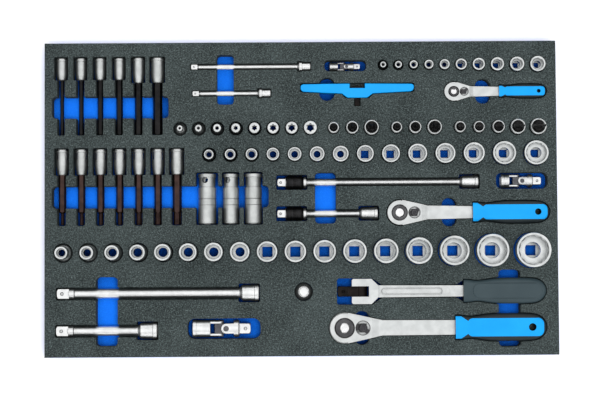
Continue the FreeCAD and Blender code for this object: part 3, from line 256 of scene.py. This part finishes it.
def metal_finish(name, colour, worn, rough, stretch=(1.0, 1.0, 8.0), pitch=0.35, edge_rub_and_highlight=0.9,
                 recess_shade=0.55):
    """Rough is the range of roughness; the rim value sets how bright the edges turn, partly rubbed
    edges and partly a painted highlight; the recess value is the share of the worn colour kept in
    recesses, a painted shade. The polishing lines run across the axis with the most stretch."""
    material, tree, shader = new_material(name)
    marks = use_group(tree, turning, Stretch_X=stretch[0], Stretch_Y=stretch[1],
                      Stretch_Z=stretch[2], Pitch=pitch)
    edge_mask = use_group(tree, edge_wear_and_highlight, Width=0.35 * MM, Breakup=2.5)
    tone = mix_colour(tree, marks.outputs["Smudge"], colour, worn)
    # Brighter edges: rubbed steel, and on plated chrome a painted highlight.
    tone = mix_colour(tree, edge_mask.outputs["Mask"], tone, (edge_rub_and_highlight, edge_rub_and_highlight, edge_rub_and_highlight))
    # Painted shade: recesses and narrow gaps darken towards a dimmed worn colour.
    open_to = use_group(tree, hollows, Reach=7.0 * MM, Closed=0.25, Open=0.85)
    tone = mix_colour(tree, open_to.outputs["Openness"], tuple(c * recess_shade for c in worn), tone)
    tree.links.new(tone, shader.inputs["Base Color"])
    shader.inputs["Metallic"].default_value = 1.0
    strokes = math_node(tree, "MULTIPLY", marks.outputs["Line"], 0.6)
    smears = math_node(tree, "MULTIPLY", marks.outputs["Smudge"], 0.4)
    blend = math_node(tree, "ADD", strokes, smears)
    tree.links.new(ramp(tree, blend, 0.0, 1.0, *rough), shader.inputs["Roughness"])
    raise_bumps(tree, shader, marks.outputs["Line"], 0.010 * MM)
    return material


def oxide_finish(name, dark, light, bare):
    """A black skin that varies from dark to light, with bare steel where the edges rub."""
    material, tree, shader = new_material(name)
    bloom = use_group(tree, grain, Speck_Size=0.5, Patch_Size=9.0, Strength=1.0)
    edge_mask = use_group(tree, edge_wear_and_highlight, Width=0.2 * MM, Breakup=1.5)
    tone = mix_colour(tree, bloom.outputs["Patch"], dark, light)
    tone = mix_colour(tree, edge_mask.outputs["Mask"], tone, bare)
    tree.links.new(tone, shader.inputs["Base Color"])
    shader.inputs["Metallic"].default_value = 0.9
    roughness = ramp(tree, bloom.outputs["Speck"], 0.0, 1.0, 0.32, 0.50)
    tree.links.new(roughness, shader.inputs["Roughness"])
    raise_bumps(tree, shader, bloom.outputs["Height"], 0.015 * MM)
    return material


def moulded_finish(name, colour, faded, rough, bump=0.03, gloss=0.5):
    """Plastic or rubber: colour, its faded tone, the range of roughness and the strength of shine."""
    material, tree, shader = new_material(name)
    skin = use_group(tree, grain, Speck_Size=0.45, Patch_Size=25.0, Strength=1.0)
    edge_mask = use_group(tree, edge_wear_and_highlight, Width=0.5 * MM, Breakup=3.0)
    tone = mix_colour(tree, math_node(tree, "MULTIPLY", skin.outputs["Patch"], 0.6), colour, faded)
    rubbed = math_node(tree, "MULTIPLY", edge_mask.outputs["Mask"], 0.35)
    tree.links.new(mix_colour(tree, rubbed, tone, faded), shader.inputs["Base Color"])
    tree.links.new(ramp(tree, skin.outputs["Speck"], 0.0, 1.0, *rough), shader.inputs["Roughness"])
    shader.inputs["Specular IOR Level"].default_value = gloss
    raise_bumps(tree, shader, skin.outputs["Height"], bump * MM)
    return material


print("recipes: foam, metal, oxide, moulded")

# %% [markdown]
# ## One finish for each slot
# The record names a material slot for every node. Three stretches set which way the polishing lines
# run on standing sockets, on long bars and on flat or lying tools. The sockets that lie down mirror
# more of the dim sides of the room than the standing ones, so their chrome is a separate, duller
# finish. The hinge handle's grip is greyer than the ratchets' grips, so it has its own too.

# %% Metals
satin, satin_worn = (0.66, 0.68, 0.68), (0.54, 0.56, 0.56)
finishes = {
    "socket_chrome": metal_finish("socket_satin_chrome", satin, satin_worn, (0.24, 0.38)),
    # The bar chrome is painted lighter than the socket chrome: painted light that makes up for the
    # shade of their cut-outs.
    "tool_chrome": metal_finish("bar_satin_chrome", (0.90, 0.91, 0.91), (0.80, 0.81, 0.81),
                                (0.36, 0.50), stretch=(8.0, 1.0, 1.0)),
    "ratchet_satin": metal_finish("ratchet_satin_chrome", (0.64, 0.66, 0.66), (0.56, 0.58, 0.58),
                                  (0.26, 0.42), stretch=(1.0, 6.0, 1.0), pitch=0.5),
    "drive_steel": metal_finish("dark_drive_steel", (0.11, 0.11, 0.115), (0.07, 0.07, 0.075),
                                (0.28, 0.48), edge_rub_and_highlight=0.4),
    "lying_chrome": metal_finish("lying_socket_chrome", (0.66, 0.68, 0.675), (0.56, 0.58, 0.575),
                                 (0.40, 0.54), stretch=(1.0, 7.0, 1.0), pitch=0.5, recess_shade=0.8),
    "button_steel": metal_finish("polished_button", (0.85, 0.85, 0.85), (0.72, 0.72, 0.73),
                                 (0.08, 0.18)),
    "lever_dark": metal_finish("phosphated_lever", (0.075, 0.075, 0.08), (0.05, 0.05, 0.055),
                               (0.28, 0.44), edge_rub_and_highlight=0.4),
    "pin_dark": metal_finish("dark_pin_steel", (0.14, 0.14, 0.15), (0.09, 0.09, 0.10), (0.28, 0.45)),
    "bit_oxide": oxide_finish("black_oxide", (0.010, 0.010, 0.011), (0.022, 0.021, 0.021),
                              (0.13, 0.12, 0.12)),
    "star_bit_bronze": oxide_finish("brown_oxide", (0.036, 0.023, 0.020), (0.070, 0.040, 0.035),
                                    (0.22, 0.14, 0.12)),
    "collar_black": oxide_finish("collar_oxide", (0.012, 0.012, 0.013), (0.026, 0.025, 0.025),
                                 (0.16, 0.15, 0.15)),
    "hinge_black": oxide_finish("phosphate_black", (0.008, 0.007, 0.007), (0.018, 0.014, 0.013),
                                (0.12, 0.11, 0.10)),
}
print(len(finishes), "metal finishes")

# %% Foam, plastic and rubber
blue, blue_faded = (0.004, 0.28, 0.70), (0.008, 0.33, 0.76)
finishes["foam_charcoal"] = foam_finish("charcoal_foam", (0.007, 0.010, 0.010), (0.27, 0.34, 0.34),
                                        1.9, 1.7, 0.6)
# The blue sheet's navy tone in narrow gaps is painted shade.
finishes["foam_blue"] = foam_finish("blue_foam", (0.004, 0.15, 0.85), (0.014, 0.24, 0.98),
                                    1.6, 1.0, 0.2, gap_shade=(0.001, 0.010, 0.075))
finishes["grip_black"] = moulded_finish("grip_rubber", (0.008, 0.013, 0.015), (0.016, 0.022, 0.025),
                                        (0.42, 0.60), gloss=0.35)
finishes["inlay_blue"] = moulded_finish("inlay_plastic", blue, blue_faded, (0.30, 0.42), bump=0.015,
                                        gloss=0.15)
finishes["wing_blue"] = moulded_finish("wing_plastic", blue, blue_faded, (0.28, 0.40), bump=0.015,
                                       gloss=0.2)
finishes["rubber_black"] = moulded_finish("rubber_ring", (0.012, 0.012, 0.012), (0.03, 0.03, 0.03),
                                          (0.6, 0.8))
hinge_grip = moulded_finish("charcoal_grip", (0.024, 0.042, 0.050), (0.034, 0.054, 0.062),
                            (0.38, 0.52), gloss=0.35)
print(len(finishes), "finishes and one extra for the hinge handle's grip")

# %% Put them on the nodes
slot_of = {part["node"]: part["material_slot"] for part in record["subparts"]}
for name, node in frame["nodes"].items():
    node.data.materials.clear()
    node.data.materials.append(finishes[slot_of[name]])
frame["nodes"]["hinge_handle_grip"].data.materials[0] = hinge_grip
for name in ("hex_bit_socket_heads", "star_bit_socket_heads", "spark_plug_sockets"):
    frame["nodes"][name].data.materials[0] = finishes["lying_chrome"]
print(len(slot_of), "nodes have their finish")

# %% [markdown]
# ## The foam sheets
# A sheet of foam is never as sharp as the cutter's outline: the face rolls over a little at every
# cut edge. Each sheet is therefore rebuilt from a merged copy of its exact solid. The flat face is
# taken off, the wall tops are lowered by the roll's radius, a quarter round is stitched along every
# outline, and a constrained triangulation closes the new face inside those outlines. Where a corner
# is too tight for the whole radius, the points there move in by less, so that no outline crosses
# itself and no face turns over.

# %% Outlines of a face
from mathutils.bvhtree import BVHTree
from mathutils.geometry import delaunay_2d_cdt, intersect_line_line_2d

WELD = 2e-6       # vertices closer than this are one
LEVEL = 1e-6      # how far off the top plane a vertex of the flat face may be
SHORTEST = 0.1    # an edge that keeps less of its length than this has turned over
NEIGHBOURS = 9    # how many edges ahead a crossing is looked for
HALVINGS = 8      # how often a point's move may be halved


def merged_copy(name):
    """A welded bmesh of a node; the node itself stays as it is."""
    mesh = bmesh.new()
    mesh.from_mesh(frame["nodes"][name].data)
    bmesh.ops.remove_doubles(mesh, verts=mesh.verts, dist=WELD)
    return mesh


def outlines(faces):
    """Closed loops of vertices round a set of faces, each with the material on its left."""
    inside, follow = set(faces), {}
    for face in faces:
        for corner in face.loops:
            if not any(other in inside for other in corner.edge.link_faces if other != face):
                follow.setdefault(corner.vert, []).append(corner.link_loop_next.vert)
    loops = []
    while follow:
        first = next(iter(follow))
        loop, at = [first], first
        while True:
            onward = follow[at].pop()
            if not follow[at]:
                del follow[at]
            if onward == first:
                break
            loop.append(onward)
            at = onward
        loops.append(loop)
    return loops


def moved_inwards(points, distance, reach):
    """Each point of a closed outline moved to its left, mitred, by the distance times its reach."""
    count, moved = len(points), []
    for i, point in enumerate(points):
        before = (point - points[i - 1]).normalized()
        after = (points[(i + 1) % count] - point).normalized()
        left_a, left_b = Vector((-before.y, before.x)), Vector((-after.y, after.x))
        middle = (left_a + left_b).normalized()
        moved.append(point + middle * reach[i] * distance / max(0.5, middle.dot(left_a)))
    return moved


def safe_reach(points, distance):
    """The share of the distance each point can move before an edge near it turns over or crosses."""
    count, reach = len(points), [1.0] * len(points)
    for _ in range(HALVINGS):
        moved = moved_inwards(points, distance, reach)
        caught = set()
        for i, point in enumerate(points):
            edge = point - points[i - 1]
            if (moved[i] - moved[i - 1]).dot(edge) < SHORTEST * edge.length_squared:
                caught |= {i, (i - 1) % count}
            for gap in range(2, min(NEIGHBOURS, count - 2)):
                j = (i + gap) % count
                if intersect_line_line_2d(moved[i - 1], moved[i], moved[j - 1], moved[j]):
                    caught |= {(i + k) % count for k in range(gap)}
        for i in caught:
            reach[i] *= 0.5
        if not caught:
            break
    return reach


def material_side(triangles, borders, walls):
    """The triangles left of the outlines, and every other one reached without crossing a wall."""
    beside = {(ids[k - 1], ids[k]): n for n, ids in enumerate(triangles) for k in range(3)}
    kept = {beside[edge] for edge in borders if edge in beside}
    waiting = list(kept)
    while waiting:
        ids = triangles[waiting.pop()]
        for k in range(3):
            edge = (ids[k], ids[k - 1])
            other = beside.get(edge)
            if other is None or other in kept or edge in walls or edge[::-1] in walls:
                continue
            kept.add(other)
            waiting.append(other)
    return [triangles[n] for n in sorted(kept)]


print("outline tools ready")

# %% Soften a sheet
def soft_sheet(name, piece_name, radius, steps, finish):
    """A copy of a foam sheet whose top edges roll over in a quarter round of this radius."""
    mesh = merged_copy(name)
    top = max(v.co.z for v in mesh.verts)
    face = [f for f in mesh.faces if all(v.co.z > top - LEVEL for v in f.verts)]
    corners = [v.co.copy() for f in face for v in f.verts]
    numbers = [tuple(range(i * 3, i * 3 + 3)) for i in range(len(face))]
    old_face = BVHTree.FromPolygons(corners, numbers)
    loops = outlines(face)
    bmesh.ops.delete(mesh, geom=face, context="FACES_ONLY")
    flat_verts, flat_edges, owner = [], [], []
    for loop in loops:
        outline = [v.co.xy.copy() for v in loop]
        reach = safe_reach(outline, radius)
        ring = loop
        for vert in loop:
            vert.co.z = top - radius
        for step in range(1, steps + 1):
            angle = math.pi / 2 * step / steps
            shifted = moved_inwards(outline, radius * (1 - math.cos(angle)), reach)
            height = top - radius + radius * math.sin(angle)
            upper = [mesh.verts.new((p.x, p.y, height)) for p in shifted]
            for i in range(len(ring)):
                j = (i + 1) % len(ring)
                mesh.faces.new((ring[i], ring[j], upper[j], upper[i])).smooth = True
            ring = upper
        start = len(flat_verts)
        flat_verts += [v.co.xy.copy() for v in ring]
        owner += ring
        flat_edges += [(start + i, start + (i + 1) % len(ring)) for i in range(len(ring))]
    filled = delaunay_2d_cdt(flat_verts, flat_edges, [], 0, 1e-7)
    verts, edges, faces, origin, edge_origin, _ = filled
    made = [owner[ids[0]] if ids else mesh.verts.new((p.x, p.y, top))
            for p, ids in zip(verts, origin)]
    now = {old: new for new, ids in enumerate(origin) for old in ids}
    borders = [(now[a], now[b]) for a, b in flat_edges]
    walls = {pair for pair, ids in zip(edges, edge_origin) if ids}
    for ids in material_side(faces, borders, walls):
        centre = sum((verts[i] for i in ids), Vector((0, 0))) / len(ids)
        hit = old_face.ray_cast(Vector((centre.x, centre.y, top + 0.01)), Vector((0, 0, -1)), 0.02)
        if hit[0] is not None and len({made[i] for i in ids}) == len(ids):
            mesh.faces.new([made[i] for i in ids])
    for stray in [v for v in mesh.verts if not v.link_faces]:
        mesh.verts.remove(stray)
    data = bpy.data.meshes.new(piece_name)
    mesh.to_mesh(data)
    mesh.free()
    data.materials.append(finish)
    piece = bpy.data.objects.new(piece_name, data)
    bpy.context.collection.objects.link(piece)
    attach(piece, "module")
    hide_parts(name)
    print(piece_name, len(loops), "outlines,", len(data.polygons), "faces")


soft_sheet("foam_top_layer", "charcoal_sheet", 0.7 * MM, 3, finishes["foam_charcoal"])
soft_sheet("foam_base_layer", "blue_sheet", 0.6 * MM, 2, finishes["foam_blue"])

# %% [markdown]
# ## Details that repeat
# Seams round the drive and the reversing lever, ribs on the release collars and grooves round the
# spark plug sockets are all rings round an axis. One geometry node tree makes any set of them: its
# input is a bare set of points that carry a radius, a wire thickness and an axis, and it lays a
# swept circle on each point. The result becomes a plain mesh that rides the same body as the tool.

# %% Ring tree
rings = bpy.data.node_groups.new("ring_set", "GeometryNodeTree")
rings.interface.new_socket("Points", in_out="INPUT", socket_type="NodeSocketGeometry")
rings.interface.new_socket("Segments", in_out="INPUT", socket_type="NodeSocketInt")
rings.interface.new_socket("Finish", in_out="INPUT", socket_type="NodeSocketMaterial")
rings.interface.new_socket("Rings", in_out="OUTPUT", socket_type="NodeSocketGeometry")
r_in, r_out = rings.nodes.new("NodeGroupInput"), rings.nodes.new("NodeGroupOutput")
carried = {}
for word, kind in (("radius", "FLOAT"), ("wire", "FLOAT"), ("axis", "FLOAT_VECTOR")):
    reader = add(rings, "GeometryNodeInputNamedAttribute", {"data_type": kind}, Name=word)
    carried[word] = reader.outputs[0]
circle = add(rings, "GeometryNodeCurvePrimitiveCircle", None, Radius=1.0,
             Resolution=r_in.outputs["Segments"])
section = add(rings, "GeometryNodeCurvePrimitiveCircle", None, Resolution=8, Radius=1.0)
turned = add(rings, "FunctionNodeAlignRotationToVector", {"axis": "Z"}, Vector=carried["axis"])
laid = add(rings, "GeometryNodeInstanceOnPoints", None, Points=r_in.outputs["Points"],
           Instance=circle.outputs[0], Rotation=turned.outputs[0], Scale=carried["radius"])
paths = add(rings, "GeometryNodeRealizeInstances", None, Geometry=laid.outputs[0])
swept = add(rings, "GeometryNodeCurveToMesh", None, Curve=paths.outputs[0],
            Profile_Curve=section.outputs[0], Scale=carried["wire"])
whole = add(rings, "GeometryNodeRealizeInstances", None, Geometry=swept.outputs[0])
dressed = add(rings, "GeometryNodeSetMaterial", None, Geometry=whole.outputs[0],
              Material=r_in.outputs["Finish"])
rings.links.new(dressed.outputs[0], r_out.inputs["Rings"])
socket_id = {item.name: item.identifier for item in rings.interface.items_tree
             if item.in_out == "INPUT"}
print("ring tree:", len(rings.nodes), "nodes, inputs", sorted(socket_id))

# %% Ring sets on a body
def ring_set(name, body, finish, specs):
    """specs: (centre, radius, wire, axis) of each ring. Makes one mesh that rides the body."""
    points = bpy.data.meshes.new(name + "_points")
    points.from_pydata([spec[0] for spec in specs], [], [])
    for word, kind, index in (("radius", "FLOAT", 1), ("wire", "FLOAT", 2)):
        layer = points.attributes.new(word, kind, "POINT")
        layer.data.foreach_set("value", [spec[index] for spec in specs])
    layer = points.attributes.new("axis", "FLOAT_VECTOR", "POINT")
    layer.data.foreach_set("vector", [value for spec in specs for value in spec[3]])
    holder = bpy.data.objects.new(name + "_holder", points)
    bpy.context.collection.objects.link(holder)
    modifier = holder.modifiers.new("rings", "NODES")
    modifier.node_group = rings
    modifier[socket_id["Segments"]] = 64
    modifier[socket_id["Finish"]] = finish
    ready = holder.evaluated_get(bpy.context.evaluated_depsgraph_get())
    data = bpy.data.meshes.new_from_object(ready)
    data.name = name
    bpy.data.objects.remove(holder)
    data.shade_smooth()
    ride_with(data, name, body)


def ride_with(data, name, body):
    """Makes the mesh a piece that moves with a body."""
    piece = bpy.data.objects.new(name, data)
    bpy.context.collection.objects.link(piece)
    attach(piece, body)
    print(name, "on", body, len(data.polygons), "faces")


def solids_of(name):
    """The low and high corner of each separate solid in a node."""
    mesh, boxes = merged_copy(name), []
    left = set(mesh.verts)
    while left:
        patch, edge = [], [left.pop()]
        while edge:
            vert = edge.pop()
            patch.append(vert.co.copy())
            near = [e.other_vert(vert) for e in vert.link_edges]
            edge += [v for v in near if v in left]
            left.difference_update(near)
        boxes.append([Vector([pick(p[i] for p in patch) for i in range(3)]) for pick in (min, max)])
    mesh.free()
    return sorted(boxes, key=lambda box: box[0].x)


joints = {joint["name"]: joint for joint in record["behaviour"]["joints"]}
RIB_SHARES = (0.22, 0.30, 0.38, 0.62, 0.70, 0.78)  # of the collar's length
UP, ALONG, ACROSS = (0.0, 0.0, 1.0), (1.0, 0.0, 0.0), (0.0, 1.0, 0.0)
seam_radii = {"half_inch": (12.4, 8.6), "three_eighth": (9.6, 6.7), "quarter_inch": (6.6, 4.7)}
for tool, (seam, seat) in seam_radii.items():
    ratchet = tool + "_ratchet"
    low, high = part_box(ratchet + "_drive")
    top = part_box(ratchet + "_body")[1].z
    hub = joints[ratchet + "_reversing_lever"]["pos_m"]
    drive = ((low.x + high.x) / 2, (low.y + high.y) / 2, top)
    ring_set(ratchet + "_seams", ratchet, finishes["drive_steel"], [
        (drive, seam * MM, 0.28 * MM, UP),
        ((hub[0], hub[1], top), seat * MM, 0.25 * MM, UP),
    ])
for length, tag in (("250", "long"), ("125", "short")):
    low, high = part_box("three_eighth_collar_" + length)
    middle, radius = (low + high) / 2, (high.z - low.z) / 2
    ring_set("collar_ribs_" + length, "three_eighth_%s_release_collar" % tag,
             finishes["lever_dark"], [
        ((low.x + (high.x - low.x) * share, middle.y, middle.z), radius - 0.1 * MM, 0.3 * MM, ALONG)
        for share in RIB_SHARES
    ])

# %% Rings on the lying sockets
def rings_on_row(name, node, body, finish, shares, inset, wire):
    """Rings round every solid of a row lying along Y, at shares of its length from the drive end."""
    specs = []
    for low, high in solids_of(node):
        middle, radius = (low + high) / 2, (high.x - low.x) / 2
        for share in shares:
            place = (middle.x, high.y - (high.y - low.y) * share, middle.z)
            specs.append((place, radius - inset * MM, wire * MM, ACROSS))
    ring_set(name, body, finish, specs)


for row in ("hex_bit_socket", "star_bit_socket"):
    rings_on_row(row + "_rims", row + "_heads", row + "_row", finishes["button_steel"],
                 (0.045,), 0.25, 0.5)
rings_on_row("spark_plug_grooves", "spark_plug_sockets", "spark_plug_socket_row",
             finishes["lever_dark"], (0.50, 0.62), 0.1, 0.22)

# %% [markdown]
# ## Raised outlines on the hinge handle
# The flat bar carries a long oval outline and the grip a long oval pad. Both are the same shape, a
# straight-sided oval: the outline is a thin bead round it and the pad is a low solid with its top
# edge rolled over in two steps.

# %% Ovals
END_STEPS = 16  # edges round each end of an oval


def oval(length, width, centre):
    """Points of a straight-sided oval along X, anticlockwise."""
    radius, points = width / 2, []
    for side, start in ((1, -90), (-1, 90)):
        for step in range(END_STEPS + 1):
            angle = math.radians(start + 180 * step / END_STEPS)
            x = centre[0] + side * (length / 2 - radius) + radius * math.cos(angle)
            points.append((x, centre[1] + radius * math.sin(angle)))
    return points


def stack_of_ovals(name, levels, centre, finish, closed):
    """A surface through ovals: levels are (length, width, z); closed adds a lid and a floor."""
    mesh = bmesh.new()
    loops = [[mesh.verts.new((x, y, z)) for x, y in oval(length, width, centre)]
             for length, width, z in levels]
    pairs = list(zip(loops, loops[1:])) + ([] if closed else [(loops[-1], loops[0])])
    for lower, upper in pairs:
        for i in range(len(lower)):
            j = (i + 1) % len(lower)
            mesh.faces.new((lower[i], lower[j], upper[j], upper[i])).smooth = True
    if closed:
        mesh.faces.new(loops[-1])
        mesh.faces.new(loops[0][::-1])
    data = bpy.data.meshes.new(name)
    mesh.to_mesh(data)
    mesh.free()
    data.materials.append(finish)
    return data


PAD = (86.0, 18.5)            # length and width of the pad, mm
PAD_OFF_CENTRE = 3.0          # from the middle of the grip towards its end, mm
BEAD = (76.0, 7.8)            # length and width outside the bead, mm
BEAD_MIDDLE = 136.5           # from the middle of the module, mm


def ovals(size, face, levels):
    """Oval levels from (how much smaller, how far above the face) pairs, all in mm."""
    return [((size[0] - less) * MM, (size[1] - less) * MM, face + rise * MM) for less, rise in levels]


low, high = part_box("hinge_handle_grip")
middle = ((low.x + high.x) / 2 + PAD_OFF_CENTRE * MM, (low.y + high.y) / 2)
pad = ovals(PAD, high.z, ((0.0, -0.4), (0.0, 0.1), (0.4, 0.35), (1.4, 0.5)))
ride_with(stack_of_ovals("grip_pad", pad, middle, hinge_grip, True), "grip_pad", "hinge_handle")
low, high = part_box("hinge_handle_bar")
middle = (BEAD_MIDDLE * MM, (low.y + high.y) / 2)
bead = ovals(BEAD, high.z, ((0.0, -0.2), (0.0, 0.15), (0.8, 0.3), (1.6, 0.15), (1.6, -0.2)))
ride_with(stack_of_ovals("bar_bead", bead, middle, finishes["ratchet_satin"], False), "bar_bead",
          "hinge_handle")

# %% [markdown]
# ## The studio
# A pale floor, one broad softbox overhead, a panel at the front and one at the back, and a small
# fill high up. The softbox is what the level metal mirrors and the two panels are what the flanks of
# the bars mirror, while the dim room between them leaves round bars darker at the edges. The fill
# reaches down into the cut-outs; no metal mirrors it, so it adds no hot spots.

# %% Floor
floor_mesh = bpy.data.meshes.new("floor")
half = 3.0  # of the floor's side, m
corners = [(-half, -half, 0), (half, -half, 0), (half, half, 0), (-half, half, 0)]
floor_mesh.from_pydata(corners, [], [(0, 1, 2, 3)])
floor = bpy.data.objects.new("floor", floor_mesh)
bpy.context.collection.objects.link(floor)
paper, tree, shader = new_material("studio_paper")
fibre = use_group(tree, grain, Speck_Size=4.0, Patch_Size=300.0, Strength=0.2)
tree.links.new(mix_colour(tree, fibre.outputs["Patch"], (0.93, 0.93, 0.93), (0.95, 0.95, 0.95)),
               shader.inputs["Base Color"])
shader.inputs["Roughness"].default_value = 0.9
floor_mesh.materials.append(paper)

# %% Lights
def softbox(name, place, size, power):
    """A rectangular light of this size (m) and power (W), aimed at the middle of the module."""
    light = bpy.data.lights.new(name, "AREA")
    light.shape = "RECTANGLE"
    light.size, light.size_y = size
    light.energy = power
    lamp = bpy.data.objects.new(name, light)
    lamp.location = place
    lamp.rotation_euler = (-Vector(place)).to_track_quat("-Z", "Y").to_euler()
    bpy.context.collection.objects.link(lamp)
    return lamp


softbox("overhead", (0.0, 0.05, 2.4), (5.6, 3.0), 56)
softbox("front_panel", (0.0, -2.6, 1.3), (4.0, 2.0), 30)
softbox("back_panel", (0.0, 2.6, 1.3), (4.0, 2.0), 30)
fill_light = softbox("top_fill", (0.3, -0.4, 2.9), (1.2, 1.0), 52)
fill_light.visible_glossy = False
world = bpy.data.worlds.new("studio")
world.use_nodes = True
world.node_tree.nodes["Background"].inputs["Color"].default_value = (1.0, 1.0, 1.0, 1.0)
world.node_tree.nodes["Background"].inputs["Strength"].default_value = 0.2
bpy.context.scene.world = world
bpy.context.scene.view_settings.view_transform = "Standard"
print("overhead, two panels, a fill and a dim world")

# %% Camera
camera_data = bpy.data.cameras.new("catalogue")
camera_data.sensor_width = 36.0
camera_data.lens = 96.9
camera = bpy.data.objects.new("catalogue", camera_data)
camera.location = (-0.0072, -0.0915, 2.032)
camera.rotation_euler = tuple(math.radians(a) for a in (2.567, -0.153, -0.358))
bpy.context.collection.objects.link(camera)
bpy.context.scene.camera = camera
print("camera", round(camera_data.lens, 1), "mm")
